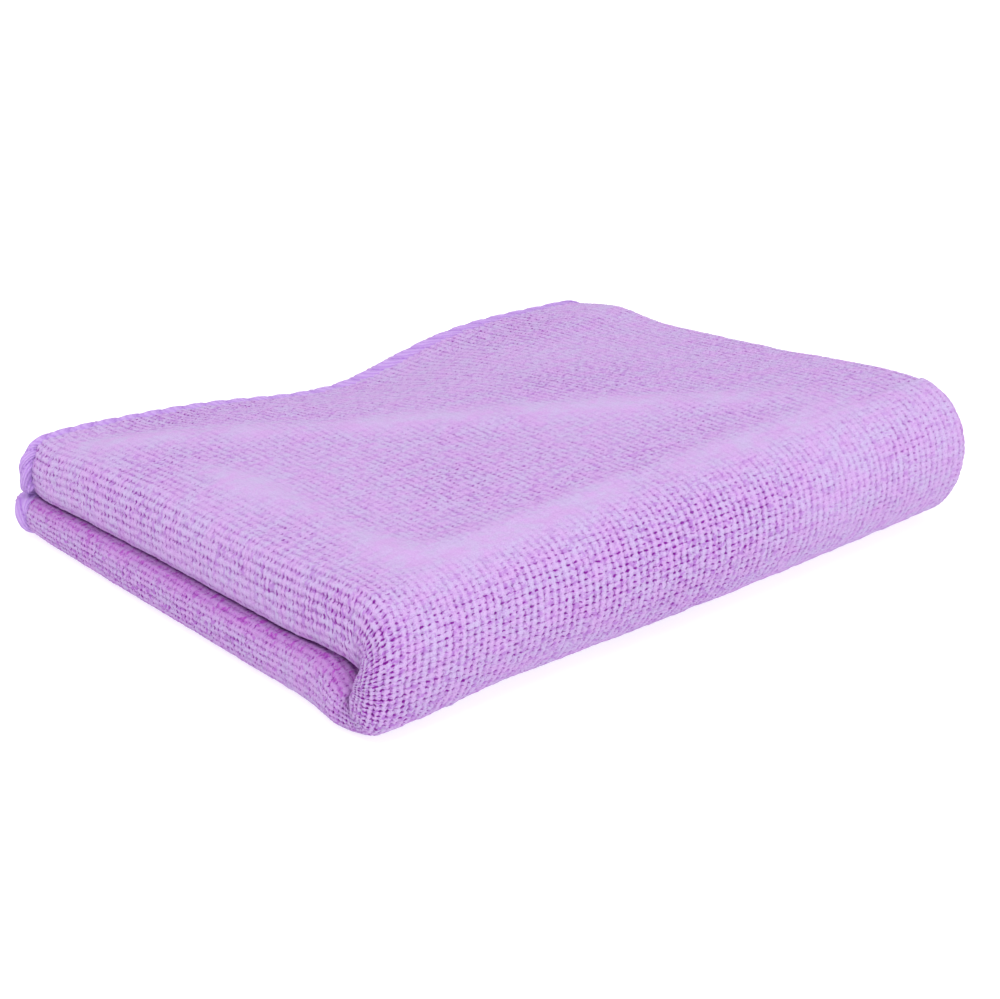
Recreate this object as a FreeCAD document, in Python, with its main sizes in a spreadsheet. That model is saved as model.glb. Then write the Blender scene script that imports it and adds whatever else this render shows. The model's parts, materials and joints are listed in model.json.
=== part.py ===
import FreeCAD, Part
import math
import os

import Sketcher

# Quick dry towel, folded: a knitted terry cloth with an overlocked edge. Its two side edges
# are folded in to the middle, then the towel is folded in half about the front crease.
# Millimetres. +X runs along the front crease, +Y from the crease to the hems, +Z is up.
# The origin is the bottom centre of the folded towel.
#
# The cloth bends in a rigid-body chain: the lower half, two strips of the front crease and
# the upper half. Each piece is drawn once, square to the crease's centre line, and is then
# turned about that line to its place round the fold.

DIMENSIONS = {
    "folded_width": 147.0,  # along the front crease
    "folded_depth": 117.0,  # from the front crease to the hems
    "fold_height": 26.0,  # over the front crease, the thickest place
    "roll_height": 8.0,  # one half: outer ply, the air in the side fold, and a flap
    "cloth": 2.1,  # thickness of the cloth with its pile
    "lean": 5.2,  # slope of the upper half from the crease down to the hems, degrees
    "setback": 0.7,  # how much shorter the upper half is, so that its hem ends over the lower one
    "hem_width": 3.4,  # how far the overlock thread reaches in from an edge
    "hem_skin": 0.4,  # thickness of the thread on each face of the cloth
    "flap_gap": 1.5,  # between the two flaps' edges along the middle
    "body_gap": 0.3,  # between neighbouring bodies of the chain, at the outer face
}
HINGES = 3
LEAST_REST_GAP = 0.3

document = FreeCAD.newDocument("quick_dry_towel")
sheet = document.addObject("Spreadsheet::Sheet", "Dimensions")
for row, (alias, number) in enumerate(DIMENSIONS.items(), start=1):
    sheet.set(f"A{row}", alias)
    sheet.set(f"B{row}", str(number))
    sheet.setAlias(f"B{row}", alias)
document.recompute()


class Size:
    """A length that follows the sheet: a weighted sum of its cells."""

    def __init__(self, weights):
        self.weights = weights

    def __add__(self, other):
        names = {**self.weights, **other.weights}
        return Size({n: self.weights.get(n, 0) + other.weights.get(n, 0) for n in names})

    def __mul__(self, factor):
        return Size({n: weight * factor for n, weight in self.weights.items()})

    def __sub__(self, other):
        return self + other * -1

    @property
    def value(self):
        return sum(weight * DIMENSIONS[n] for n, weight in self.weights.items())

    @property
    def formula(self):
        return " + ".join(f"{weight} * Dimensions.{n}" for n, weight in self.weights.items())


def cell(name):
    return Size({name: 1})


NONE = Size({"cloth": 0})
FOLD_RADIUS = cell("fold_height") * 0.5
PANEL_DEPTH = cell("folded_depth") - FOLD_RADIUS - cell("hem_width")
SIDE_CENTRE = cell("folded_width") * 0.5 - cell("roll_height") * 0.5
OUTER_FACE = FOLD_RADIUS * -1
FLAP_FACE = OUTER_FACE + cell("roll_height")
FLAP_EDGE = cell("flap_gap") * 0.5
FLAP_HEM = FLAP_EDGE + cell("hem_width")
SKIN = cell("hem_skin")
CLOTH = cell("cloth")

TURN = f"(180 + Dimensions.lean) / {HINGES}"
GAP_TURN = "Dimensions.body_gap / Dimensions.fold_height * 2 * 180 / pi"


# Profiles, across the towel: x along the crease, z from the crease's centre line. Each is a
# closed list of corners. An "arc" between two corners is a semicircle: its centre and the
# side, 1 or -1 along x, to which it bulges.


def panel_profile(inset):
    low, high = OUTER_FACE + inset, OUTER_FACE + CLOTH - inset
    return [(SIDE_CENTRE * -1, low), (SIDE_CENTRE, low), (SIDE_CENTRE, high), (SIDE_CENTRE * -1, high)]


def side_fold(side, inset):
    """The outer face of a side fold, from the panel up to the flap, and the inner face, back down."""
    x, centre = SIDE_CENTRE * side, OUTER_FACE + cell("roll_height") * 0.5
    outer = [(x, OUTER_FACE + inset), ("arc", x, centre, side), (x, FLAP_FACE - inset)]
    high, low = FLAP_FACE - CLOTH + inset, OUTER_FACE + CLOTH - inset
    return outer, [(x, high), ("arc", x, centre, side), (x, low)]


def flap_profile(side):
    """A side fold and its flap, thinned where the overlock thread grips its edge."""
    outer, inner = side_fold(side, NONE)
    root, tip = FLAP_HEM * side, (FLAP_EDGE + SKIN) * side
    high, low = FLAP_FACE, FLAP_FACE - CLOTH
    step = [(root, high), (root, high - SKIN), (tip, high - SKIN)]
    step_back = [(tip, low + SKIN), (root, low + SKIN), (root, low)]
    return [*outer, *step, *step_back, *inner]


def flap_tongue_profile(side):
    """The same flap, as thin as it is under the thread of the back hem."""
    outer, inner = side_fold(side, SKIN)
    tip = (FLAP_EDGE + SKIN) * side
    return [*outer, (tip, FLAP_FACE - SKIN), (tip, FLAP_FACE - CLOTH + SKIN), *inner]


def flap_hem_profile(side):
    """The overlock thread round a flap's edge, open where the cloth enters it."""
    tip, slot, root = FLAP_EDGE * side, (FLAP_EDGE + SKIN) * side, FLAP_HEM * side
    high, low = FLAP_FACE, FLAP_FACE - CLOTH
    return [
        (tip, high),
        (root, high),
        (root, high - SKIN),
        (slot, high - SKIN),
        (slot, low + SKIN),
        (root, low + SKIN),
        (root, low),
        (tip, low),
    ]


def back_profile(inset):
    """The whole back edge of a half: flap, side fold, panel, side fold and flap."""
    tip, high, low = FLAP_EDGE + inset, FLAP_FACE - inset, FLAP_FACE - CLOTH + inset
    right_outer, right_inner = side_fold(1, inset)
    left_outer, left_inner = side_fold(-1, inset)
    outer = [(tip, high), *reversed(right_outer), *left_outer, (tip * -1, high)]
    return [*outer, (tip * -1, low), *left_inner, *reversed(right_inner), (tip, low)]


def draw(body, name, profile, offset=NONE):
    """A sketch of the profile on the body's XZ plane, moved along +Y by offset.
    Each corner is tied to the sheet."""
    sketch = body.newObject("Sketcher::SketchObject", name)
    plane = next(f for f in body.Origin.OriginFeatures if f.Role == "XZ_Plane")
    sketch.AttachmentSupport = [(plane, "")]
    sketch.MapMode = "FlatFace"
    sketch.setExpression("AttachmentOffset.Base.z", (offset * -1).formula)
    corners = [c for c in profile if c[0] != "arc"]
    spots = [FreeCAD.Vector(x.value, z.value, 0) for x, z in corners]
    arcs = {}
    for i, c in enumerate(profile):
        if c[0] == "arc":
            arcs[sum(1 for p in profile[:i] if p[0] != "arc") - 1] = c[1:]
    starts, ends = {}, {}
    for i, here in enumerate(spots):
        there = spots[(i + 1) % len(spots)]
        if i in arcs:
            x, z, side = arcs[i]
            centre = FreeCAD.Vector(x.value, z.value, 0)
            circle = Part.Circle(centre, FreeCAD.Vector(0, 0, 1), (here - centre).Length)
            first = -side * math.pi / 2
            edge = sketch.addGeometry(Part.ArcOfCircle(circle, first, first + math.pi), False)
            forward = (there.y > here.y) == (side > 0)
            starts[i], ends[i] = ((edge, 1), (edge, 2)) if forward else ((edge, 2), (edge, 1))
            bind(sketch, "DistanceX", (edge, 3), x)
        else:
            edge = sketch.addGeometry(Part.LineSegment(here, there), False)
            starts[i], ends[i] = (edge, 1), (edge, 2)
    for i, (x, z) in enumerate(corners):
        end_before = ends[i - 1 if i else len(corners) - 1]
        sketch.addConstraint(Sketcher.Constraint("Coincident", *end_before, *starts[i]))
        bind(sketch, "DistanceX", starts[i], x)
        bind(sketch, "DistanceY", starts[i], z)
    return sketch


def bind(sketch, kind, point, size):
    index = sketch.addConstraint(Sketcher.Constraint(kind, *point, size.value))
    sketch.setExpression(f"Constraints[{index}]", size.formula)


def extrude(body, sketch, depth, back):
    """A pad along +Y if back is 1, along -Y if it is -1."""
    pad = body.newObject("PartDesign::Pad", "Pad")
    pad.Profile = sketch
    pad.Reversed = back > 0
    pad.setExpression("Length", depth.formula)
    return pad


def wrap(body, sketch, turn, back=0):
    """The profile swept round the crease by turn: both ways if back is 0, else away from the half."""
    swept = body.newObject("PartDesign::Revolution", "Wrap")
    swept.Profile = sketch
    swept.ReferenceAxis = (sketch, ["H_Axis"])
    swept.Midplane = back == 0
    swept.Reversed = back > 0
    swept.setExpression("Angle", turn)
    return swept


def new_body(label, turned):
    """An empty body whose local origin is the crease's centre line.
    It is turned about it by the expression turned."""
    body = document.addObject("PartDesign::Body", label)
    body.Label = label
    body.Placement = FreeCAD.Placement(FreeCAD.Vector(), FreeCAD.Rotation(FreeCAD.Vector(1, 0, 0), -1))
    body.setExpression("Placement.Base.y", (FOLD_RADIUS - cell("folded_depth") * 0.5).formula)
    body.setExpression("Placement.Base.z", FOLD_RADIUS.formula)
    body.setExpression("Placement.Rotation.Angle", f"-1 deg * ({turned})")
    return body


def half(name, turned, back, depth):
    """One half of the towel, lying away from the crease, with the end of the crease that bends with it."""
    end_turn = f"{TURN} / 2 - {GAP_TURN} / 2"
    profiles = {"panel": (panel_profile(NONE), panel_profile(SKIN))}
    for word, side in (("left", -1), ("right", 1)):
        profiles[f"{word}_flap"] = (flap_profile(side), flap_tongue_profile(side))
    made = []
    for part, (full, thin) in profiles.items():
        body = new_body(f"{name}_{part}", turned)
        sketch = draw(body, "Section", full)
        extrude(body, sketch, depth, back)
        wrap(body, sketch, end_turn, back)
        tongue = draw(body, "TongueSection", thin)
        extrude(body, tongue, depth + cell("hem_width") - SKIN, back)
        made.append(body)
    for word, side in (("left", -1), ("right", 1)):
        body = new_body(f"{name}_{word}_flap_hem", turned)
        sketch = draw(body, "Section", flap_hem_profile(side))
        extrude(body, sketch, depth, back)
        wrap(body, sketch, end_turn, back)
        made.append(body)
    body = new_body(f"{name}_back_hem", turned)
    start = depth * back
    extrude(body, draw(body, "Section", back_profile(NONE), start), cell("hem_width"), back)
    slot = body.newObject("PartDesign::Pocket", "Slot")
    slot.Profile = draw(body, "SlotSection", back_profile(SKIN), start)
    slot.Reversed = back < 0
    slot.setExpression("Length", (cell("hem_width") - SKIN).formula)
    made.append(body)
    return made


def crease_strip(name, turned):
    """One strip of the front crease: the panel, the side folds and the flaps bent round it."""
    profiles = {"panel": panel_profile(NONE)}
    for word, side in (("left", -1), ("right", 1)):
        profiles[f"{word}_flap"] = flap_profile(side)
        profiles[f"{word}_flap_hem"] = flap_hem_profile(side)
    made = []
    for part, profile in profiles.items():
        body = new_body(f"{name}_{part}", turned)
        wrap(body, draw(body, "Section", profile), f"{TURN} - {GAP_TURN}")
        made.append(body)
    return made


nodes = half("lower", "0", 1, PANEL_DEPTH)
nodes += crease_strip("fold_lower", TURN)
nodes += crease_strip("fold_upper", f"2 * {TURN}")
nodes += half("upper", f"{HINGES} * {TURN}", -1, PANEL_DEPTH - cell("setback"))
document.recompute()

for item in document.Objects:
    if "Invalid" in item.State or "Error" in item.State:
        raise RuntimeError(f"{item.Label} did not compute: {item.State}")
for node in nodes:
    if node.Shape.isNull() or not node.Shape.isValid() or len(node.Shape.Solids) != 1:
        raise RuntimeError(f"{node.Label} is not one valid solid")

lower = Part.makeCompound([n.Shape for n in nodes if n.Label.startswith("lower")])
upper = Part.makeCompound([n.Shape for n in nodes if n.Label.startswith("upper")])
rest_gap = lower.distToShape(upper)[0]
print(f"gap between the halves at rest: {rest_gap:.2f} mm")
if rest_gap < LEAST_REST_GAP:
    raise RuntimeError("the upper half leans into the lower half")

os.makedirs("parts", exist_ok=True)
for node in nodes:
    node.Shape.exportStep(f"parts/{node.Label}.step")
    print(f"{node.Label}: {node.Shape.Volume:.0f} mm3")
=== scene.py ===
"""The looks of a folded quick dry towel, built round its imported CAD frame.

The towel is one rectangle of knitted cloth. Its two side edges are folded to the middle, and then it is
folded in half across them, with the fold in front. The cloth is one grid of points. Its columns run across
the cloth: from the edge of the left flap, round the left side fold, over the outer ply and round the right
side fold to the edge of the right flap. Its rows run from the lower back hem, round the front fold, to the
upper back hem. Lengths are in millimetres until a mesh is made, and angles are in radians.
"""

import json
import math

import bpy
import numpy as np
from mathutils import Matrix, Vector


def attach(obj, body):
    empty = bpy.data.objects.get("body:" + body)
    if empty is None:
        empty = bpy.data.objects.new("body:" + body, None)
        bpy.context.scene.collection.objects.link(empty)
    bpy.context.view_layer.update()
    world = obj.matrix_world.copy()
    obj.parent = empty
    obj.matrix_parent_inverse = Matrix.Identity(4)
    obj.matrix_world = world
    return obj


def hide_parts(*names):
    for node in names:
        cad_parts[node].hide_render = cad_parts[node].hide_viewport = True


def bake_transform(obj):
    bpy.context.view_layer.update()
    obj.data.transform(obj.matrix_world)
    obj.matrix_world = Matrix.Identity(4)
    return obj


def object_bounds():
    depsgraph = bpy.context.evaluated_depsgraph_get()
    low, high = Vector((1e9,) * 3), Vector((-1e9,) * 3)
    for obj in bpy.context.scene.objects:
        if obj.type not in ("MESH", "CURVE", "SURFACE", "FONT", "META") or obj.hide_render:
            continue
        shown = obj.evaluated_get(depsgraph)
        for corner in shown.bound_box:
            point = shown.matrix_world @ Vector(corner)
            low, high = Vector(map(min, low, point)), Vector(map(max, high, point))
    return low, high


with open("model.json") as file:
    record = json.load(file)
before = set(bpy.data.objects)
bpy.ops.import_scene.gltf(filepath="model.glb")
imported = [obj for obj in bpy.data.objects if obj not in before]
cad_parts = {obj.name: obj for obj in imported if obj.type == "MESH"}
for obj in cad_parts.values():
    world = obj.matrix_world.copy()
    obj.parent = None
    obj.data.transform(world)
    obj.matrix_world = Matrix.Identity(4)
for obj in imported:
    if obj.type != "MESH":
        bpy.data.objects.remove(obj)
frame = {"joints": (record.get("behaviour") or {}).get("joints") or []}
cad_low, cad_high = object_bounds()

MM = 0.001

# ---------------------------------------------------------------- sizes from the frame
LEFT, FRONT = cad_low.x / MM, cad_low.y / MM
RIGHT, BACK = cad_high.x / MM, cad_high.y / MM
HALF_WIDTH = RIGHT
RADIUS = cad_high.z / MM / 2             # of the front fold, outside
FOLD_Y, FOLD_Z = FRONT + RADIUS, RADIUS  # the line that the front fold goes round

# ---------------------------------------------------------------- the cloth
PLY = 1.9               # thickness of one ply
RIB, COURSE = 1.58, 1.16  # distance between two ribs, and between two rows of loops
STEPS, ROW_STEPS = 4, 3   # grid steps in one loop of the knit, across a rib and across a row
TWO_PLIES = 4.9         # depth of the two plies where they lie close
BULGE = 4.6             # how far a side fold stands out from the plies
SIDE_LENGTH = 17.0      # length of the cloth round a side fold
FLAP_EDGE = 1.2         # from the middle to the edge of a flap
GAP = 0.15              # between the two halves

# The inside of the front fold, at the ends of the towel: its radius, and how far its middle lies behind and
# below the line that the front fold goes round.
INNER_RADIUS, INNER_BACK, INNER_DOWN = 2.2, 1.8, 3.4
HOOK_BELOW, HOOK_ABOVE = 3.6, 1.9   # how far the slit's lower and upper edge drop just behind the front fold
HOOK_LOW_Z, HOOK_HIGH_Z = 3.5, 10.9  # heights that the slit's two edges curve by as they go into the fold
HOOK_PULL = 0.2         # how far in front of and behind the fold's line those curves are pulled

# Turns round the front fold at which the cloth is cut, between its three hinges.
CUT_LOW, CUT_HIGH = math.radians(61.73), math.radians(123.47)


def smooth(t):
    """0 up to t = 0, 1 from t = 1 and a smooth step between them."""
    t = np.clip(t, 0, 1)
    return t * t * (3 - 2 * t)


def ramp(value, start, length):
    """0 up to start, 1 from start + length on."""
    return smooth((value - start) / length)


def fall(value, start, length):
    """1 up to start, 0 from start + length on."""
    return smooth((start + length - value) / length)


def softmin(a, b, width):
    """The lower of a and b, rounded where they meet."""
    return -width * np.logaddexp(-a / width, -b / width)


def bump(distance, width):
    """A bell of height 1 at distance 0."""
    return np.exp(-(distance / width) ** 2)


def hill(x, centre, left, right):
    """A bell of height 1 at centre, with a width of its own on each side."""
    return bump(x - centre, np.where(x < centre, left, right))


# ---------------------------------------------------------------- the shape of the top
TOP_LEFT, TOP_RIGHT = 26.2, 27.5   # height of the front fold at its two ends
SLOW_START = 6                     # length behind the fold over which the slopes begin
FRONT_FALL = 4.6                   # fall of the front slope, from the fold to the back
BACK_START = 36.6                  # height that the back slope falls from, at the left end
BACK_LEAN = 9.1                    # how much lower the back slope lies at the right end
BACK_FALL = 15.4                   # fall of the back slope, from the fold to the back
RIDGE_SOFT = 0.9                   # softness of the ridge where the two slopes meet
HEM_DIP = 5.4                      # depth of the dip in the middle of the back hem
LEFT_DROP = 1.2                    # drop of the left back corner
LIP = 0.5                          # height of the lip along the back hem, and depth of the furrow before it
HOLLOW = 1.7                       # depth of the hollow along the right end
CORNER_RISE, CORNER_DROP = 1.8, 1.6  # the right back corner's hump, and its drop at the very hem
RIM_HEIGHT, CREST_HEIGHT = 0.75, 0.7  # of the two soft crests
EDGE_DROP = 1.1                    # drop of the plies beside the left side fold
WAVE = 0.35                        # height of the top's slight unevenness
RIM_FROM_LEFT, RIM_FROM_FRONT = 18, 15  # how far the rim crest runs from the left end and from the front
CREST_X, CREST_Y = 0.576, 0.817    # direction across the long crest
CREST_FROM_BACK = 6                # where the long crest starts, in front of the left back corner
SLIT_SHARE = 0.5                   # height of the slit as a share of the top's height
SLIT_LOWER = 0.065                 # how much lower the slit lies at the left end, as such a share
SLIT_LOWER_FRONT = 0.035           # how much of that is missing near the front fold


def fold_height(x):
    return TOP_LEFT + (TOP_RIGHT - TOP_LEFT) * (x / HALF_WIDTH + 1) / 2


def rim_crest(x, y):
    """A soft crest that runs along inside the left side fold and turns along the front fold."""
    inside = softmin(x - LEFT - RIM_FROM_LEFT, y - FRONT - RIM_FROM_FRONT, width=5)
    fade = ramp(RIGHT - x, start=5, length=40) * ramp(BACK - y, start=20, length=40)
    return bump(inside, width=4.5) * fade


def long_crest(x, y):
    """A soft crest from the left back corner almost to the right front corner."""
    across_it = CREST_X * (x - LEFT) + CREST_Y * (y - BACK + CREST_FROM_BACK)
    fade = ramp(RIGHT - x, start=12, length=30) * ramp(x - LEFT, start=4, length=12)
    return bump(across_it, width=5.5) * fade


def top_height(x, y):
    """Height of the towel's top face. It is high in front and on the left, and falls off to the right back
    corner past a soft ridge from corner to corner, with a dip and a lip along the hem."""
    from_left = (x / HALF_WIDTH + 1) / 2
    run = BACK - FOLD_Y
    behind = np.maximum(y - FOLD_Y, 0)
    to_back = (behind * behind / (behind + SLOW_START)) / (run * run / (run + SLOW_START))
    front_slope = fold_height(x) - FRONT_FALL * to_back
    back_slope = BACK_START - BACK_LEAN * from_left - BACK_FALL * to_back
    z = softmin(front_slope, back_slope, RIDGE_SOFT)
    hem = BACK - y
    z -= HEM_DIP * hill(x, centre=4, left=34, right=24) * bump(hem, width=30)
    z -= LEFT_DROP * (1 - from_left) * ramp(to_back, start=0.8, length=0.2)
    lip = LIP - 0.6 * hill(x, centre=-40, left=20, right=30) - 1.0 * hill(x, centre=2, left=22, right=16)
    z += lip * bump(hem, width=5) - LIP * bump(hem - 11, width=6)
    z -= HOLLOW * np.sin(math.pi * np.clip(to_back, 0, 1)) * from_left ** 2
    z += CORNER_RISE * bump(x - RIGHT, width=20) * bump(hem - 15, width=11)
    z -= CORNER_DROP * bump(x - RIGHT + 4, width=22) * bump(hem, width=8)
    crests = RIM_HEIGHT * rim_crest(x, y) + CREST_HEIGHT * long_crest(x, y)
    z += crests * ramp(behind, start=0, length=7)
    z -= EDGE_DROP * bump(x - LEFT, width=9) * ramp(behind, start=0, length=20)
    wave = np.sin(x / 11 + 0.8 * np.sin(y / 17)) * np.sin(y / 13 + 1.3)
    z += WAVE * wave * ramp(behind, start=0, length=20)
    return z


def end_share(x):
    """1 at the two ends of the towel, where the plies roll over, and 0 well inside."""
    return ramp(np.abs(x), start=46, length=22)


def slit_height(x, y):
    """Height of the gap between the two halves."""
    left = ramp(-x, start=30, length=38)
    near_fold = fall(y - FOLD_Y, start=0, length=25)
    return top_height(x, y) * (SLIT_SHARE - left * (SLIT_LOWER - SLIT_LOWER_FRONT * near_fold))


# ---------------------------------------------------------------- rows of the grid
FLAT = BACK - FOLD_Y
LOWER_LENGTH = FLAT + RADIUS * CUT_LOW
MID_LENGTH = RADIUS * (CUT_HIGH - CUT_LOW)
UPPER_LENGTH = FLAT + RADIUS * (math.pi - CUT_HIGH)
LOWER_HEM_BACK = 1.1       # how much further back the lower hem lies than the upper one


def rows_in(length):
    """Grid steps in a length of cloth along the ribs, in whole loops."""
    return ROW_STEPS * round(length / COURSE)


def columns_in(length):
    """Grid steps in a length of cloth across the ribs, in whole loops."""
    return STEPS * round(length / RIB)


LOWER_ROWS, MID_ROWS, UPPER_ROWS = rows_in(LOWER_LENGTH), rows_in(MID_LENGTH), rows_in(UPPER_LENGTH)
CUTS = (0, LOWER_ROWS, LOWER_ROWS + MID_ROWS, LOWER_ROWS + MID_ROWS + UPPER_ROWS)
path = np.concatenate([
    np.linspace(0, LOWER_LENGTH, LOWER_ROWS + 1)[:-1],
    np.linspace(LOWER_LENGTH, LOWER_LENGTH + MID_LENGTH, MID_ROWS + 1)[:-1],
    np.linspace(LOWER_LENGTH + MID_LENGTH, LOWER_LENGTH + MID_LENGTH + UPPER_LENGTH, UPPER_ROWS + 1),
])[:, None]
turn = np.clip((path - FLAT) / RADIUS, 0, math.pi)      # 0 in the lower half, pi in the upper half
lower_y = np.maximum(BACK - path, FOLD_Y)
upper_y = FOLD_Y + np.maximum(path - FLAT - math.pi * RADIUS, 0)
is_lower, is_upper = turn <= 0, turn >= math.pi
row_y = np.where(is_upper, upper_y, lower_y)
from_hem = BACK - row_y                                 # 0 at either back hem
row_y = row_y + LOWER_HEM_BACK * np.exp(-from_hem / 12) * is_lower

# ---------------------------------------------------------------- columns of the grid
OUTER = columns_in(2 * (HALF_WIDTH - BULGE))
SIDE = columns_in(SIDE_LENGTH)
FLAP_WIDTH = HALF_WIDTH - BULGE - FLAP_EDGE
FLAP = columns_in(FLAP_WIDTH)
COLUMNS = 2 * FLAP + 2 * SIDE + OUTER + 1
column = np.arange(COLUMNS)[None, :]
# across goes from -1 to 1 over the outer ply and stays there outside it
across = np.clip((column - FLAP - SIDE) / OUTER, 0, 1) * 2 - 1
SQUARE_POWER = 0.62        # below 1, and a side fold is squarer beside the flap


def roll_profile(angle):
    """How far out, 0 to 1, and how far round, 0 to 1, a side fold is at an angle."""
    power = np.where(angle > math.pi / 2, SQUARE_POWER, 1.0)
    cosine = np.sign(np.cos(angle)) * np.abs(np.cos(angle)) ** power
    return np.clip(np.sin(angle), 0, 1) ** power, (1 - cosine) / 2


# roll is the turn of a side fold: 0 on the outer ply, pi on the flap, with its columns evenly apart
some_angles = np.linspace(0, math.pi, 721)
out_there, round_there = roll_profile(some_angles)
steps_there = np.hypot(np.diff(out_there, prepend=0) * BULGE, np.diff(round_there, prepend=0) * RADIUS)
run_there = np.cumsum(steps_there)
roll_left = np.clip((FLAP + SIDE - column) / SIDE, 0, 1)
roll_right = np.clip((column - FLAP - SIDE - OUTER) / SIDE, 0, 1)
roll = np.interp(roll_left + roll_right, run_there / run_there[-1], some_angles)
flap_left = np.clip((FLAP - column) / FLAP, 0, 1)
flap_right = np.clip((column - (COLUMNS - 1 - FLAP)) / FLAP, 0, 1)

# ---------------------------------------------------------------- the shape of the fold
END_LEAN = 2.4             # how far the upper half's right end stands out past the lower half's
LEFT_IN, LEFT_LEAN = 0.4, 2.2  # how far inside the frame the left end lies, and how much more so higher up
CORNER = 9                 # length over which the back corners are rounded
CORNER_IN, CORNER_MORE = 0.4, 1.9  # how far they are rounded in, and how much more so higher up
PUSHED = 1.6               # how far the fold's left end is pushed out, low in front
TAIL = 0.7                 # how far the lower left back corner stands out
HEM_LIFT = 1.7             # how far the lower left back corner lifts off the floor
CLEAR = 0.1                # between the cloth and the floor
END_SLIMMER = 0.8          # how much less the front fold stands out at its ends
LEFT_SET_BACK = 1.9        # how far back the fold's left end lies
SQUARER_OUT, SQUARER_DOWN = 1.0, 0.8  # how much squarer the fold is low at its left end
SAG = 0.7                  # how far the upper side folds sag on to the lower ones


def end_positions():
    """Where the side folds' outermost lines lie, row by row, on the left and on the right."""
    rise = ramp(turn, start=0.5, length=2.1)
    rounding = 1 - np.sqrt(1 - np.clip(1 - from_hem / CORNER, 0, 1) ** 2)
    corner = (CORNER_IN + CORNER_MORE * rise) * rounding * (is_lower | is_upper)
    behind = np.maximum(row_y - FOLD_Y, 0)
    pushed = PUSHED * fall(turn, start=1.5, length=1.2) * bump(behind, width=9) * (turn < math.pi)
    left = LEFT + LEFT_IN + LEFT_LEAN * rise + corner - pushed - TAIL * np.exp(-from_hem / 12) * is_lower
    right = RIGHT - END_LEAN * (1 - rise) - corner
    return left, right


def outer_face(x):
    """(y, z) of the outer ply at x, for every row."""
    lift = HEM_LIFT * np.exp(-from_hem / 5) * ramp(-x, start=45, length=25) + CLEAR
    slimmer = END_SLIMMER * (x / HALF_WIDTH) ** 2
    front = RADIUS - slimmer - END_SLIMMER * ramp(-x, start=54, length=15)
    set_back = LEFT_SET_BACK * fall(x, start=-60, length=85)
    half_way = (1 - np.cos(turn)) / 2
    taller = (fold_height(x) - 2 * RADIUS) * half_way ** 2
    radius = RADIUS + (front - RADIUS) * np.sin(turn) ** 2 + taller
    fold_y, fold_z = FOLD_Y - radius * np.sin(turn), FOLD_Z - radius * np.cos(turn)
    squarer = np.sin(2 * turn) ** 2 * (turn < math.pi / 2) * ramp(-x, start=42, length=24)
    fold_y, fold_z = fold_y - SQUARER_OUT * squarer, fold_z - SQUARER_DOWN * squarer
    y = np.where(is_upper | is_lower, row_y, fold_y)
    y = y + set_back * np.exp(-np.maximum(row_y - FOLD_Y, 0) / 12)
    z = np.where(is_lower, lift, fold_z + CLEAR * (1 - half_way))
    return y, np.where(is_upper, top_height(x, row_y), z)


def hinge_place(joint_name):
    """Where a hinge of the front fold lies in the frame."""
    return Vector(next(j for j in frame["joints"] if j["name"] == joint_name)["pos_m"]) / MM


def hinge_turn(joint_name):
    """Turn at which a hinge of the fold is seen from the middle of the fold's inside."""
    hinge = hinge_place(joint_name)
    return math.atan2(INNER_Y - hinge.y, INNER_Z - hinge.z)


INNER_Y, INNER_Z = FOLD_Y + INNER_BACK, FOLD_Z - INNER_DOWN
TURN_LOW, TURN_MID, TURN_HIGH = (hinge_turn(name) for name in ("crease_low", "crease_mid", "crease_high"))
INNER_LOW, INNER_HIGH = (TURN_LOW + TURN_MID) / 2, (TURN_MID + TURN_HIGH) / 2


def bezier(a, b, c, t):
    """A curve from a to c that b pulls at."""
    return a * (1 - t) ** 2 + 2 * b * t * (1 - t) + c * t * t


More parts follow.
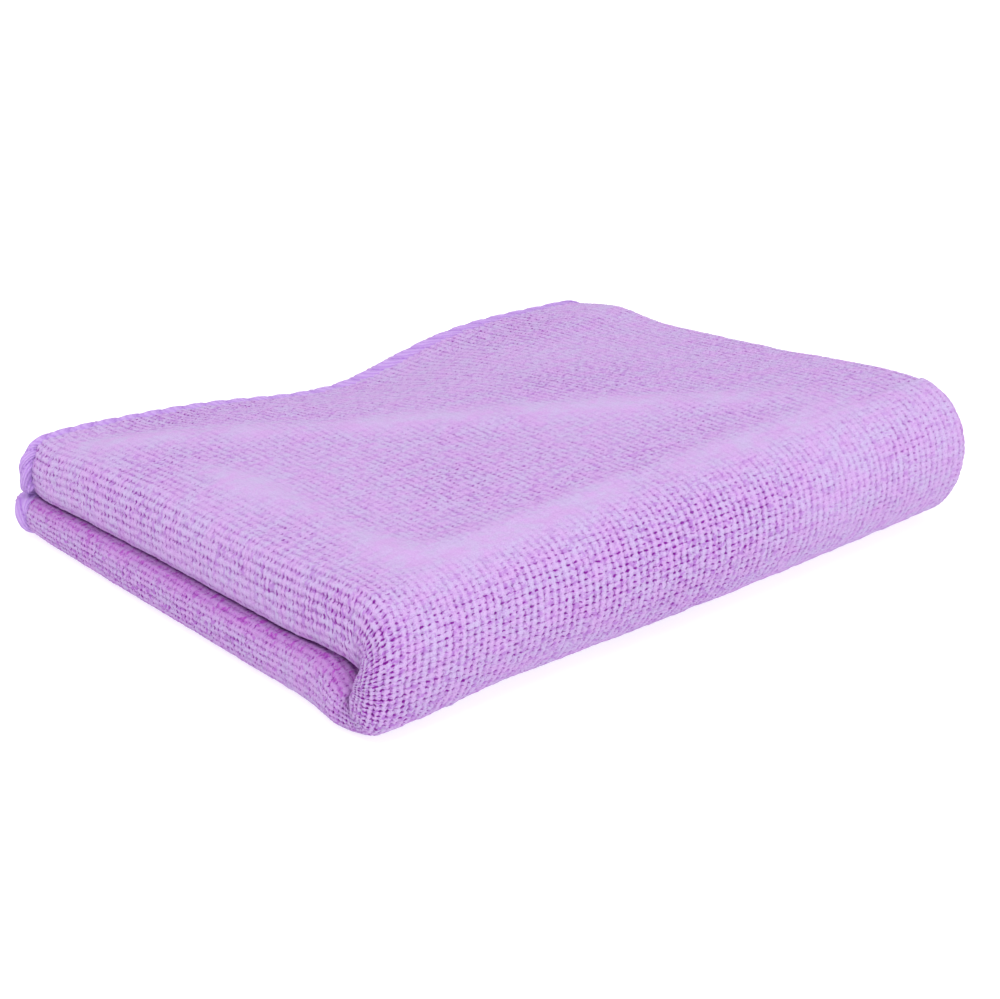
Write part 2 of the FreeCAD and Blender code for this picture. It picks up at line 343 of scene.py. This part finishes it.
def inner_face(x):
    """(y, z) of the flaps' bare face at x, for every row. It is the face that the slit and the fold show."""
    ends = end_share(x)
    half_gap = GAP / 2
    behind = np.maximum(row_y - FOLD_Y, 0)
    slit = slit_height(x, row_y)
    near_fold = np.clip(1 - behind / 9, 0, 1) ** 2
    near_fold_above = np.clip(1 - behind / 12, 0, 1) ** 2
    # well inside, the plies stay close round the fold and leave a hollow wedge in it
    closed = ramp(behind, start=0, length=24)
    low_inside = TWO_PLIES + (slit - half_gap - TWO_PLIES) * closed
    high_inside = fold_height(x) - TWO_PLIES + (slit + half_gap - fold_height(x) + TWO_PLIES) * closed
    # at the ends, the rolled plies fill the fold, and the slit hooks down in front of the lower roll
    low_end = slit - half_gap - HOOK_BELOW * near_fold
    high_end = slit + half_gap - HOOK_ABOVE * near_fold_above
    z = np.where(is_lower, low_inside + (low_end - low_inside) * ends,
                 high_inside + (high_end - high_inside) * ends)
    # the fold itself, well inside
    tight_y = FOLD_Y - (RADIUS - TWO_PLIES) * np.sin(turn)
    tight_z = FOLD_Z - (RADIUS - TWO_PLIES) * np.cos(turn)
    # and at the ends, where it is a small round inside with a curve to each edge of the slit
    slit_0 = slit_height(x, np.full_like(row_y, FOLD_Y))
    inner_turn = np.interp(turn, (0, CUT_LOW, CUT_HIGH, math.pi), (0, INNER_LOW, INNER_HIGH, math.pi))
    round_y = INNER_Y - INNER_RADIUS * np.sin(inner_turn)
    round_z = INNER_Z - INNER_RADIUS * np.cos(inner_turn)
    low_t = np.clip(turn / CUT_LOW, 0, 1)
    low_y = bezier(FOLD_Y, FOLD_Y - HOOK_PULL, INNER_Y - INNER_RADIUS * math.sin(INNER_LOW), low_t)
    low_z = bezier(slit_0 - half_gap - HOOK_BELOW, HOOK_LOW_Z,
                   INNER_Z - INNER_RADIUS * math.cos(INNER_LOW), low_t)
    high_t = np.clip((turn - CUT_HIGH) / (math.pi - CUT_HIGH), 0, 1)
    high_y = bezier(INNER_Y - INNER_RADIUS * math.sin(INNER_HIGH), FOLD_Y + HOOK_PULL, FOLD_Y, high_t)
    high_z = bezier(INNER_Z - INNER_RADIUS * math.cos(INNER_HIGH), HOOK_HIGH_Z,
                    slit_0 + half_gap - HOOK_ABOVE, high_t)
    end_y = np.where(turn < CUT_LOW, low_y, np.where(turn > CUT_HIGH, high_y, round_y))
    end_z = np.where(turn < CUT_LOW, low_z, np.where(turn > CUT_HIGH, high_z, round_z))
    fold_y = tight_y + (end_y - tight_y) * ends
    fold_z = tight_z + (end_z - tight_z) * ends
    flat = is_lower | is_upper
    return np.where(flat, row_y, fold_y), np.where(flat, z, fold_z)


def cloth_face():
    """The face of the cloth that shows, as an array of rows, columns and x, y, z."""
    left, right = end_positions()
    outer_left, outer_right = left + BULGE, right - BULGE
    middle, half = (outer_left + outer_right) / 2, (outer_right - outer_left) / 2
    x_outer = middle + half * across
    x_left_flap = -FLAP_EDGE + (outer_left + FLAP_EDGE) * (1 - flap_left)
    x_right_flap = FLAP_EDGE + (outer_right - FLAP_EDGE) * (1 - flap_right)
    x_flap = np.where(column < COLUMNS // 2, x_left_flap, x_right_flap)
    on_flap = (column <= FLAP) | (column >= COLUMNS - 1 - FLAP)
    x = np.where(on_flap, x_flap, x_outer)
    outer_y, outer_z = outer_face(x)
    inner_y, inner_z = inner_face(x)
    # a side fold stands out less where the plies lie thin
    depth = np.hypot(inner_y - outer_y, inner_z - outer_z)
    bulge = BULGE * np.clip(depth / 10, 0.5, 1)
    sag = SAG * is_upper * bump(roll - 2.2, width=0.6)
    sag = sag * ramp(from_hem, start=0, length=12) * ramp(row_y, start=FOLD_Y, length=12)
    outwards, share = roll_profile(roll)
    side = np.where(column < COLUMNS // 2, -1, 1)
    return np.stack([x + side * bulge * outwards,
                     outer_y + (inner_y - outer_y) * share,
                     outer_z + (inner_z - outer_z) * share - sag], axis=-1)


def grid_normals(points):
    """Unit normals of a grid of points, towards the face that shows."""
    across_rows = np.gradient(points, axis=0)
    across_columns = np.gradient(points, axis=1)
    return unit(np.cross(across_columns, across_rows))


def unit(v):
    """Vectors of length 1."""
    return v / np.maximum(np.linalg.norm(v, axis=-1, keepdims=True), 1e-9)


def value_noise(shape, rows, columns, seed):
    """Smooth noise from 0 to 1 over a grid, with a random value every rows and columns steps."""
    r = np.random.default_rng(seed)
    coarse = r.random((shape[0] // rows + 3, shape[1] // columns + 3))
    i, j = np.arange(shape[0]) / rows, np.arange(shape[1]) / columns
    i0, j0 = i.astype(int), j.astype(int)
    fi, fj = smooth(i - i0)[:, None], smooth(j - j0)[None, :]
    a, b = coarse[i0][:, j0], coarse[i0][:, j0 + 1]
    c, d = coarse[i0 + 1][:, j0], coarse[i0 + 1][:, j0 + 1]
    return (a * (1 - fj) + b * fj) * (1 - fi) + (c * (1 - fj) + d * fj) * fi


# ---------------------------------------------------------------- the loops of the knit
KNIT_DEPTH = 0.85                              # share of the three depths below that is pressed in
RIB_GROOVE, ROW_GROOVE, PIT = 0.15, 0.10, 0.22
CLOSED_DEPTH, OPEN_DEPTH = 0.35, 1.1           # depth factor of closed loops, and what open ones add
FINE_UNEVEN, WIDE_UNEVEN = 0.16, 0.22          # height of the cloth's unevenness, within and over some loops

# How far the loops stand open, from 0 to 1, and what is added to it or taken from it in places.
HALF_OPEN, PATCHES = 0.5, 0.45
FRONT_MORE, LEFT_MORE, HEM_MORE = 0.3, 0.42, 0.3
RIGHT_LESS, CREST_LESS = 0.42, 0.58
SLIT_SHADE_SHARE, LOW_ROLL_SHADE_SHARE = 0.62, 0.13               # share of painted shade in the slit, and on the lower roll


def knit(points, normals, opened):
    """Presses the loops of the knit into a grid of points: a groove between ribs, a shallower one between
    rows and a pit where they cross, all a little uneven."""
    shape = points.shape[:2]
    i, j = np.arange(shape[0])[:, None], np.arange(shape[1])[None, :]
    to_row = np.abs((i % ROW_STEPS) / ROW_STEPS - 0.5) * 2
    to_rib = np.abs((j % STEPS) / STEPS - 0.5) * 2
    patch = CLOSED_DEPTH + OPEN_DEPTH * np.clip(opened, 0, 1)
    loose = 0.6 + 0.8 * value_noise(shape, ROW_STEPS, STEPS, seed=2)
    grooves = RIB_GROOVE * to_rib ** 2 + ROW_GROOVE * to_row ** 2 + PIT * (to_rib * to_row) ** 2
    fine, wide = value_noise(shape, 3, 3, seed=3), value_noise(shape, 14, 5, seed=4)
    uneven = FINE_UNEVEN * (fine - 0.5) + WIDE_UNEVEN * (wide - 0.5)
    return points - normals * (KNIT_DEPTH * (patch * loose * grooves) - uneven)[..., None]


def loop_openness(points):
    """How far the loops stand open and show the pits between them, from about 0 to 1."""
    x, y = points[..., 0], points[..., 1]
    shape = points.shape[:2]
    # most where the cloth bends round the front fold
    opened = HALF_OPEN + FRONT_MORE * ramp(turn, start=0.1, length=0.5) * fall(turn, start=2.2, length=0.7)
    opened = opened + PATCHES * (value_noise(shape, 56, 40, seed=5) - 0.5)
    # less towards the right, except on the top
    opened = opened * (1 - RIGHT_LESS * ramp(x, start=-5, length=45) * (roll < 2) * ~is_upper)
    # more on the left side fold, and in front of the hem on the left
    opened = opened + LEFT_MORE * bump(roll_left - 0.4, width=0.32)
    near_hem = hill(x, centre=-38, left=30, right=36) * bump(from_hem - 7, width=8)
    opened = opened + HEM_MORE * near_hem * is_upper * (roll < 1)
    # least on the two crests
    crests = np.clip(rim_crest(x, y) + long_crest(x, y), 0, 1)
    crests = crests * (0.55 + 0.7 * value_noise(shape, 22, 15, seed=6))
    return opened - CREST_LESS * crests * (turn > 1.8) * (roll < 1)


def painted_slit_shade():
    """Share of painted shade in the cloth's colour, from 0 to 1. It is deepest on the rolls' faces towards
    the slit and lighter across the lower roll, and it fades out a few millimetres onto the flaps.
    """
    on_flap = (flap_left + flap_right) * FLAP_WIDTH
    near_roll = bump(on_flap, width=4)
    shade_in_slit = SLIT_SHADE_SHARE * ramp(roll, start=1.65, length=1.2) * near_roll
    shade_on_low_roll = LOW_ROLL_SHADE_SHARE * ramp(roll, start=0, length=1.2) * fall(turn, start=0, length=0.8) * near_roll
    return np.clip(shade_in_slit + shade_on_low_roll, 0, 1)


face_smooth = cloth_face()
normals_smooth = grid_normals(face_smooth)
back = face_smooth[::ROW_STEPS, ::STEPS] - PLY * normals_smooth[::ROW_STEPS, ::STEPS]
openness = loop_openness(face_smooth)
face = knit(face_smooth, normals_smooth, openness)
normals = grid_normals(face)
rib_place = np.broadcast_to(column / STEPS, face.shape[:2])
row_place = np.broadcast_to(np.arange(face.shape[0])[:, None] / ROW_STEPS, face.shape[:2])
weave_place = np.stack([rib_place, row_place, openness], axis=-1)
# painted shade of the slit, handed to the material as the shade attribute
shade_place = np.repeat(painted_slit_shade()[..., None], 3, axis=-1)


# ---------------------------------------------------------------- meshes
def new_piece(name, vertices, faces, normals, attributes):
    """A mesh object from vertices in millimetres, a list of arrays of faces, and its own vertex normals."""
    mesh = bpy.data.meshes.new(name)
    mesh.vertices.add(len(vertices))
    mesh.vertices.foreach_set("co", (vertices * MM).astype(np.float32).ravel())
    corners = np.concatenate([f.ravel() for f in faces])
    sizes = np.concatenate([np.full(len(f), f.shape[1]) for f in faces])
    mesh.loops.add(len(corners))
    mesh.loops.foreach_set("vertex_index", corners.astype(np.int32))
    mesh.polygons.add(len(sizes))
    mesh.polygons.foreach_set("loop_start", (np.cumsum(sizes) - sizes).astype(np.int32))
    mesh.polygons.foreach_set("use_smooth", np.ones(len(sizes), bool))
    mesh.update(calc_edges=True)
    for attribute, values in attributes.items():
        layer = mesh.attributes.new(attribute, "FLOAT_VECTOR", "POINT")
        layer.data.foreach_set("vector", values.astype(np.float32).ravel())
    mesh.normals_split_custom_set_from_vertices(normals.astype(np.float32))
    piece = bpy.data.objects.new(name, mesh)
    bpy.context.scene.collection.objects.link(piece)
    return piece


def quads(index):
    """The faces between the points of a grid of indices."""
    corners = index[:-1, :-1], index[1:, :-1], index[1:, 1:], index[:-1, 1:]
    return np.stack(corners, axis=-1).reshape(-1, 4)


def rim(fine, coarse):
    """Faces that join a fine edge of the face that shows to a coarse edge of the back face."""
    starts = np.arange(len(coarse) - 1)
    steps = (len(fine) - 1) // (len(coarse) - 1)
    columns = [fine[starts * steps + k] for k in range(steps + 1)]
    return np.stack(columns + [coarse[starts + 1], coarse[starts]], axis=-1)


def both_faces(top, under):
    """The values of a fine grid and of a coarse one, as one list."""
    return np.concatenate([top.reshape(-1, 3), under.reshape(-1, 3)])


def cloth_piece(name, first, last):
    """The cloth from row first to row last: its knitted face, its back face and the rim between them."""
    rows, coarse_rows = slice(first, last + 1), slice(first, last + 1, ROW_STEPS)
    top = face[rows]
    under = back[first // ROW_STEPS:last // ROW_STEPS + 1]
    fine = np.arange(top.shape[0] * top.shape[1]).reshape(top.shape[:2])
    coarse = fine.size + np.arange(under.shape[0] * under.shape[1]).reshape(under.shape[:2])
    faces = [quads(fine)[:, ::-1], quads(coarse),
             rim(fine[0, ::-1], coarse[0, ::-1]), rim(fine[-1], coarse[-1]),
             rim(fine[:, 0], coarse[:, 0]), rim(fine[::-1, -1], coarse[::-1, -1])]
    own_normals = both_faces(normals[rows], -normals_smooth[coarse_rows, ::STEPS])
    attributes = {
        "weave": both_faces(weave_place[rows], weave_place[coarse_rows, ::STEPS]),
        "shade": both_faces(shade_place[rows], shade_place[coarse_rows, ::STEPS]),
    }
    return new_piece(name, both_faces(top, under), faces, own_normals, attributes)


# ---------------------------------------------------------------- overlocked hems
HEM_DEEP = 2.9          # thickness of a hem
HEM_WIDE = 5.4          # how far it reaches in from the edge of the cloth
HEM_PAST = 0.4          # how far the thread stands past the edge of the cloth
HEM_PROUD = 0.35        # how far it stands out from the face that shows
HEM_ROUND = 20          # points round a hem
HEM_SQUARE = 2.6        # above 2, and a hem's section is squarer than an ellipse
STITCH = 5.2            # distance between two bunches of its thread
LEAN = 0.55             # how far the bunches lean, in stitches
STRANDS = 3             # strands in a stitch
STRAND_LEAN = 1.6       # how much more than the bunches the strands lean
WAIST, BUNCH, STRAND = 0.82, 0.2, 0.02  # size of a hem between bunches, and what bunches and strands add


def hem_grid(edge, inward, outward_normal):
    """A rope of bunched thread along the edge of the cloth, as an array of places along it and round it.
    inward points from the edge into the cloth and outward_normal out of the face that shows."""
    along = np.concatenate([[0], np.cumsum(np.linalg.norm(np.diff(edge, axis=0), axis=1))])[:, None]
    angle = (np.arange(HEM_ROUND) / HEM_ROUND * 2 * math.pi)[None, :]
    centre = edge + inward * (HEM_WIDE / 2 - HEM_PAST) - outward_normal * (HEM_DEEP / 2 - HEM_PROUD)
    lean = LEAN * STITCH * np.sin(angle)
    bunch = np.abs(np.sin(math.pi * (along + lean) / STITCH)) ** 0.7
    strand = np.cos(2 * math.pi * (along + STRAND_LEAN * lean) / (STITCH / STRANDS))
    size = WAIST + BUNCH * bunch + STRAND * strand
    wide, deep = HEM_WIDE / 2 * size, HEM_DEEP / 2 * size
    c, s = np.cos(angle), np.sin(angle)
    squarer = 1 / np.maximum(np.abs(c) ** HEM_SQUARE + np.abs(s) ** HEM_SQUARE, 1e-9) ** (1 / HEM_SQUARE)
    points = (centre[:, None] - inward[:, None] * (wide * c * squarer)[..., None]
              + outward_normal[:, None] * (deep * s * squarer)[..., None])
    thread = np.stack([np.broadcast_to(along / STITCH, size.shape),
                       np.broadcast_to(angle / (2 * math.pi), size.shape), bunch], axis=-1)
    return points, thread


def hem_piece(name, points, thread):
    """A closed rope from its points, with its ends capped."""
    count, around = points.shape[:2]
    index = np.arange(count * around).reshape(count, around)
    ring = np.concatenate([index, index[:, :1]], axis=1)
    padded = np.concatenate([points[:, -1:], points, points[:, :1]], axis=1)
    n = unit(np.cross(np.gradient(padded, axis=0), np.gradient(padded, axis=1))[:, 1:-1])
    outward = np.sign(((points - points.mean(axis=1, keepdims=True)) * n).sum())
    faces = [quads(ring), index[:1, ::-1], index[-1:, :]]
    if outward < 0:
        faces = [corners[:, ::-1] for corners in faces]
    own_normals = (n * outward).reshape(-1, 3)
    return new_piece(name, points.reshape(-1, 3), faces, own_normals, {"thread": thread.reshape(-1, 3)})


def back_hem(name, row, step):
    """The hem along a back edge: row 0 or the last, with step towards the cloth."""
    edge = face_smooth[row]
    inward = unit(face_smooth[row + step] - edge)
    return hem_piece(name, *hem_grid(edge, inward, normals_smooth[row]))


def flap_hem(side):
    """The grid of points of the hem along a flap's edge, from the lower back hem to the upper one."""
    edge_column, step = (0, 1) if side == "left" else (COLUMNS - 1, -1)
    edge = face_smooth[:, edge_column]
    inward = unit(face_smooth[:, edge_column + step] - edge)
    return hem_grid(edge, inward, normals_smooth[:, edge_column])


# ---------------------------------------------------------------- materials
class Nodes:
    """Builds a node material with short calls."""

    def __init__(self, name):
        self.material = bpy.data.materials.new(name)
        self.material.use_nodes = True
        self.tree = self.material.node_tree
        self.shader = self.tree.nodes["Principled BSDF"]

    def add(self, kind, links=None, values=None, **settings):
        node = self.tree.nodes.new(kind)
        for key, value in settings.items():
            setattr(node, key, value)
        for socket, value in (values or {}).items():
            node.inputs[socket].default_value = value
        for socket, source in (links or {}).items():
            self.link(source, node.inputs[socket])
        return node

    def link(self, source, socket):
        output = source.outputs[0] if isinstance(source, bpy.types.Node) else source
        self.tree.links.new(output, socket)

    def attribute(self, name):
        return self.add("ShaderNodeAttribute", attribute_name=name).outputs["Vector"]

    def split(self, vector):
        return self.add("ShaderNodeSeparateXYZ", {0: vector}).outputs

    def maths(self, operation, a, b=None, c=None, clamp=False):
        node = self.tree.nodes.new("ShaderNodeMath")
        node.operation = operation
        node.use_clamp = clamp
        for socket, value in zip(node.inputs, (a, b, c)):
            if isinstance(value, (int, float)):
                socket.default_value = value
            elif value is not None:
                self.link(value, socket)
        return node

    def times(self, a, b):
        return self.maths("MULTIPLY", a, b)

    def step(self, value, zero_at, one_at):
        """0 where value is zero_at, 1 where it is one_at and smooth between them."""
        return self.add("ShaderNodeMapRange", {"Value": value}, {"From Min": zero_at, "From Max": one_at},
                        interpolation_type="SMOOTHSTEP")

    def noise(self, vector, scale, detail=2.0, rough=0.5):
        return self.add("ShaderNodeTexNoise", {"Vector": vector},
                        {"Scale": scale, "Detail": detail, "Roughness": rough})

    def mix(self, share, a, b):
        """The colour a where share is 0 and b where it is 1."""
        node = self.add("ShaderNodeMix", {"Factor": share}, data_type="RGBA")
        for socket, value in ((node.inputs[6], a), (node.inputs[7], b)):
            if isinstance(value, tuple):
                socket.default_value = value
            else:
                self.link(value, socket)
        return node.outputs[2]

    def surface(self, **values):
        """Sets constants on the shader's own sockets."""
        for socket, value in values.items():
            self.shader.inputs[socket.replace("_", " ")].default_value = value

    def finish(self, colour, height, bump, distance):
        self.link(colour, self.shader.inputs["Base Color"])
        node = self.add("ShaderNodeBump", {"Height": height}, {"Strength": bump, "Distance": distance})
        self.link(node, self.shader.inputs["Normal"])
        return self.material


def srgb(red, green, blue):
    """A linear colour from its 0 to 255 values on screen."""
    def linear(value):
        value /= 255
        return value / 12.92 if value <= 0.04045 else ((value + 0.055) / 1.055) ** 2.4
    return tuple(linear(v) for v in (red, green, blue)) + (1.0,)


LILAC, COOL_LILAC = srgb(197, 162, 213), srgb(190, 175, 212)
# the furrow colour is painted shade in the grooves between ribs
FURROW_SHADE, SPECKLE, FIBRE = srgb(160, 96, 186), srgb(158, 92, 186), srgb(166, 118, 190)
# painted shade colours: the first for the slit, the second for the knit's pits and grooves
SLIT_SHADE_COLOUR, PIT_SHADE_COLOUR = srgb(158, 52, 170), srgb(126, 28, 144)
KNIT_SHEEN, THREAD_SHEEN = srgb(225, 200, 245), srgb(220, 200, 245)
THREAD, THREAD_GROOVE = srgb(184, 150, 213), srgb(148, 94, 190)
FLOOR_DARK, FLOOR_LIGHT = srgb(186, 186, 186), srgb(190, 190, 190)
WHITE = (1.0, 1.0, 1.0, 1.0)


def knit_material():
    """Lilac terry. Its patterns are laid out in loops: 1 is one rib across, or one row along a rib."""
    m = Nodes("terry_cloth")
    weave = m.attribute("weave")
    opened = m.split(weave)[2]
    place = m.add("ShaderNodeVectorMath", {0: weave}, {1: (1.0, 1.0, 0.0)}, operation="MULTIPLY").outputs[0]

    def wandered(scale, amount, detail):
        """place moved about by noise of its own scale."""
        push = m.add("ShaderNodeVectorMath", {0: m.noise(place, scale, detail).outputs["Color"]},
                     {1: (0.5, 0.5, 0.5)}, operation="SUBTRACT")
        push = m.add("ShaderNodeVectorMath", {0: push}, {"Scale": amount}, operation="SCALE")
        return m.add("ShaderNodeVectorMath", {0: place, 1: push}, operation="ADD").outputs[0]

    def to_line(value):
        """Distance to the nearest whole number, 0 to 0.5."""
        return m.maths("PINGPONG", value, 0.5)

    def stretched(scale):
        """place with the pattern drawn out along one way of the knit."""
        return m.add("ShaderNodeMapping", {"Vector": place}, {"Scale": scale})

    rib, row, _ = m.split(wandered(scale=2.4, amount=0.7, detail=4.0))
    to_rib, to_row = to_line(rib), to_line(row)

    # a pit where four loops meet, longer across than along, and of a size that differs from one to the next
    flat = m.times(to_row, 1.7)
    away = m.maths("SQRT", m.maths("MULTIPLY_ADD", to_rib, to_rib, m.times(flat, flat)))
    reach = m.maths("MULTIPLY_ADD", m.noise(place, scale=1.1, detail=1.0), 0.75, -0.14)
    reach = m.times(reach, m.maths("MULTIPLY_ADD", opened, 0.8, 0.45))
    pit = m.step(m.maths("DIVIDE", away, m.maths("MAXIMUM", reach, 0.02)), zero_at=1.15, one_at=0.45)

    # grooves between ribs and between rows, broken up along their length
    rib_breaks = m.step(m.noise(stretched((1.0, 0.35, 1.0)), scale=1.3, detail=3.0), 0.47, 0.66)
    rib_groove = m.times(m.step(to_rib, zero_at=0.17, one_at=0.02), rib_breaks)
    row_breaks = m.step(m.noise(stretched((0.35, 1.0, 1.0)), scale=1.3, detail=3.0), 0.5, 0.68)
    row_groove = m.times(m.step(to_row, zero_at=0.15, one_at=0.02), row_breaks)

    # patches where the nap hides the knit
    patch = m.step(m.noise(place, scale=0.085, detail=3.0, rough=0.6), 0.36, 0.64)
    strength = m.times(opened, m.maths("MULTIPLY_ADD", patch, 0.55, 0.8))
    # painted shade: the pits and the grooves between ribs and rows are darkened, over the real pits and
    # grooves pressed into the mesh
    dark = m.maths("MAXIMUM", pit, m.times(rib_groove, 0.6))
    dark = m.maths("MAXIMUM", dark, m.times(row_groove, 0.42))
    dark = m.maths("MULTIPLY", dark, strength, clamp=True)

    # the loops' colour, with soft stripes along the ribs painted darker as painted shade in the grooves
    # between them, and a deeper speckle where they stand open
    light = m.mix(m.step(m.noise(place, scale=0.3, detail=4.0, rough=0.65), 0.35, 0.65), LILAC, COOL_LILAC)
    furrow_breaks = m.step(m.noise(place, scale=1.3, detail=3.0), 0.42, 0.62)
    furrow_shade = m.times(m.step(to_rib, zero_at=0.4, one_at=0.06), furrow_breaks)
    light = m.mix(m.times(m.times(furrow_shade, opened), 0.6), light, FURROW_SHADE)
    speckle = m.step(m.noise(place, scale=0.9, detail=4.0, rough=0.7), 0.5, 0.62)
    light = m.mix(m.times(m.times(speckle, opened), 0.75), light, SPECKLE)
    fibre = m.noise(place, scale=6.0, detail=4.0, rough=0.75)
    light = m.mix(m.times(m.step(fibre, 0.42, 0.64), 0.55), light, FIBRE)
    # painted shade: the slit and the lower roll are deepened towards the slit colour where the shade
    # attribute says
    depth = m.times(m.split(m.attribute("shade"))[0], m.maths("MULTIPLY_ADD", speckle, 0.6, 0.6))
    light = m.mix(depth, light, SLIT_SHADE_COLOUR)

    # each loop is a little dome
    dome = m.maths("MULTIPLY_ADD", m.step(to_row, 0.0, 0.34), 0.6, 0.4)
    dome = m.times(m.step(to_rib, 0.0, 0.34), dome)
    height = m.maths("MULTIPLY_ADD", fibre, 0.8, m.times(dome, 0.55))
    m.surface(Roughness=0.95, Specular_IOR_Level=0.15)
    m.surface(Sheen_Weight=0.1, Sheen_Roughness=0.5, Sheen_Tint=KNIT_SHEEN)
    # the knit's colour, with its pits and grooves darkened as painted shade
    return m.finish(m.mix(dark, light, PIT_SHADE_COLOUR), height, bump=0.55, distance=0.0003)


def thread_material():
    """Bunched thread, with its strands wound slantwise and darker between the bunches."""
    m = Nodes("overlock_thread")
    place = m.attribute("thread")
    along, around, bunch = m.split(place)
    full_turn = 2 * math.pi
    round_it = m.maths("SINE", m.times(around, full_turn))
    slant = m.maths("MULTIPLY_ADD", round_it, STRAND_LEAN * LEAN * STRANDS, m.times(along, STRANDS))
    rough = m.noise(place, scale=6.0, detail=3.0)
    slant = m.maths("MULTIPLY_ADD", rough, 0.5, slant)
    strand = m.maths("SINE", m.times(slant, full_turn))
    groove = m.times(m.step(strand, zero_at=0.3, one_at=-0.9), 0.5)
    dark = m.maths("MAXIMUM", groove, m.step(bunch, zero_at=0.55, one_at=0.1))
    colour = m.mix(m.times(dark, 0.8), THREAD, THREAD_GROOVE)
    m.surface(Roughness=0.8, Specular_IOR_Level=0.25, Sheen_Weight=0.15, Sheen_Tint=THREAD_SHEEN)
    height = m.maths("MULTIPLY_ADD", strand, 0.4, m.times(rough, 0.6))
    return m.finish(colour, height, bump=0.6, distance=0.0003)


def floor_material():
    """Near white, and lit a little by itself so that it stays even."""
    m = Nodes("white_floor")
    grain = m.noise(m.add("ShaderNodeTexCoord").outputs["Object"], scale=40.0)
    m.surface(Roughness=0.9, Specular_IOR_Level=0.0, Emission_Color=WHITE, Emission_Strength=0.7)
    return m.finish(m.mix(grain, FLOOR_DARK, FLOOR_LIGHT), grain, bump=0.02, distance=0.0002)


def bend(piece):
    """Bakes a piece's transform into its mesh."""
    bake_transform(piece)


# part of the towel, its first and its last cut, the bodies on both sides of its hinge, and the hinge
SPANS = (
    ("lower", 0, 1, "lower_half", "fold_lower", "crease_low"),
    ("fold", 1, 2, "fold_lower", "fold_upper", "crease_mid"),
    ("upper", 2, 3, "fold_upper", "upper_half", "crease_high"),
)
REPLACED = {
    "lower": ("lower_panel", "lower_left_flap", "lower_right_flap"),
    "fold": ("fold_lower_panel", "fold_lower_left_flap", "fold_lower_right_flap",
             "fold_upper_panel", "fold_upper_left_flap", "fold_upper_right_flap"),
    "upper": ("upper_panel", "upper_left_flap", "upper_right_flap"),
}
REPLACED_HEMS = {
    "lower": ("lower_{side}_flap_hem",),
    "fold": ("fold_lower_{side}_flap_hem", "fold_upper_{side}_flap_hem"),
    "upper": ("upper_{side}_flap_hem",),
}


def build_towel():
    cloth, thread = knit_material(), thread_material()
    side_hems = {side: flap_hem(side) for side in ("left", "right")}
    back_hems = {"lower": back_hem("lower_back_hem_thread", 0, 1),
                 "upper": back_hem("upper_back_hem_thread", CUTS[-1], -1)}
    for part, first, last, body_a, body_b, joint in SPANS:
        piece = cloth_piece(f"{part}_cloth", CUTS[first], CUTS[last])
        piece.data.materials.append(cloth)
        bend(piece)
        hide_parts(*REPLACED[part])
        hems = []
        for side, (points, places) in side_hems.items():
            rows = slice(CUTS[first], CUTS[last] + 1)
            hem = hem_piece(f"{part}_{side}_flap_hem_thread", points[rows], places[rows])
            bend(hem)
            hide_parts(*[node.format(side=side) for node in REPLACED_HEMS[part]])
            hems.append(hem)
        if part in back_hems:
            hem = back_hems[part]
            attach(hem, f"{part}_half")
            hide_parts(f"{part}_back_hem")
            hems.append(hem)
        for hem in hems:
            hem.data.materials.append(thread)


# ---------------------------------------------------------------- floor, light and camera, in metres
FLOOR_SIZE = 6
WORLD_STRENGTH = 0.95
CAMERA_PLACE = (-0.3761, -0.4390, 0.2821)
CAMERA_AZIMUTH, CAMERA_PITCH = math.radians(40.66), math.radians(25.51)   # how far it looks right, and down
LENS, SENSOR = 118.8, 36.0


def build_floor():
    bpy.ops.mesh.primitive_plane_add(size=FLOOR_SIZE, location=(0, 0, 0))
    floor = bpy.context.object
    floor.name = "floor"
    floor.data.materials.append(floor_material())


def area_light(name, place, size, power):
    """A square light at place that looks at the towel."""
    data = bpy.data.lights.new(name, "AREA")
    data.size = size
    data.energy = power
    light = bpy.data.objects.new(name, data)
    light.location = place
    light.rotation_euler = (-Vector(place)).to_track_quat("-Z", "Y").to_euler()
    bpy.context.scene.collection.objects.link(light)


def build_light():
    world = bpy.data.worlds.new("studio")
    world.use_nodes = True
    background = world.node_tree.nodes["Background"]
    background.inputs["Color"].default_value = WHITE
    background.inputs["Strength"].default_value = WORLD_STRENGTH
    bpy.context.scene.world = world
    area_light("key", (-0.45, -0.35, 1.2), size=0.7, power=8.0)
    area_light("fill", (-0.1, -1.1, 0.35), size=1.0, power=3.4)


def build_camera():
    """Looks down on the left front corner, from about 0.6 m away."""
    data = bpy.data.cameras.new("camera")
    data.sensor_width = SENSOR
    data.lens = LENS
    data.clip_start = 0.01
    camera = bpy.data.objects.new("camera", data)
    camera.location = CAMERA_PLACE
    level = math.cos(CAMERA_PITCH)
    towards = Vector((math.sin(CAMERA_AZIMUTH) * level,
                      math.cos(CAMERA_AZIMUTH) * level, -math.sin(CAMERA_PITCH)))
    camera.rotation_euler = towards.to_track_quat("-Z", "Y").to_euler()
    bpy.context.scene.collection.objects.link(camera)
    bpy.context.scene.camera = camera


build_towel()
build_floor()
build_light()
build_camera()
bpy.context.scene.view_settings.view_transform = "Standard"
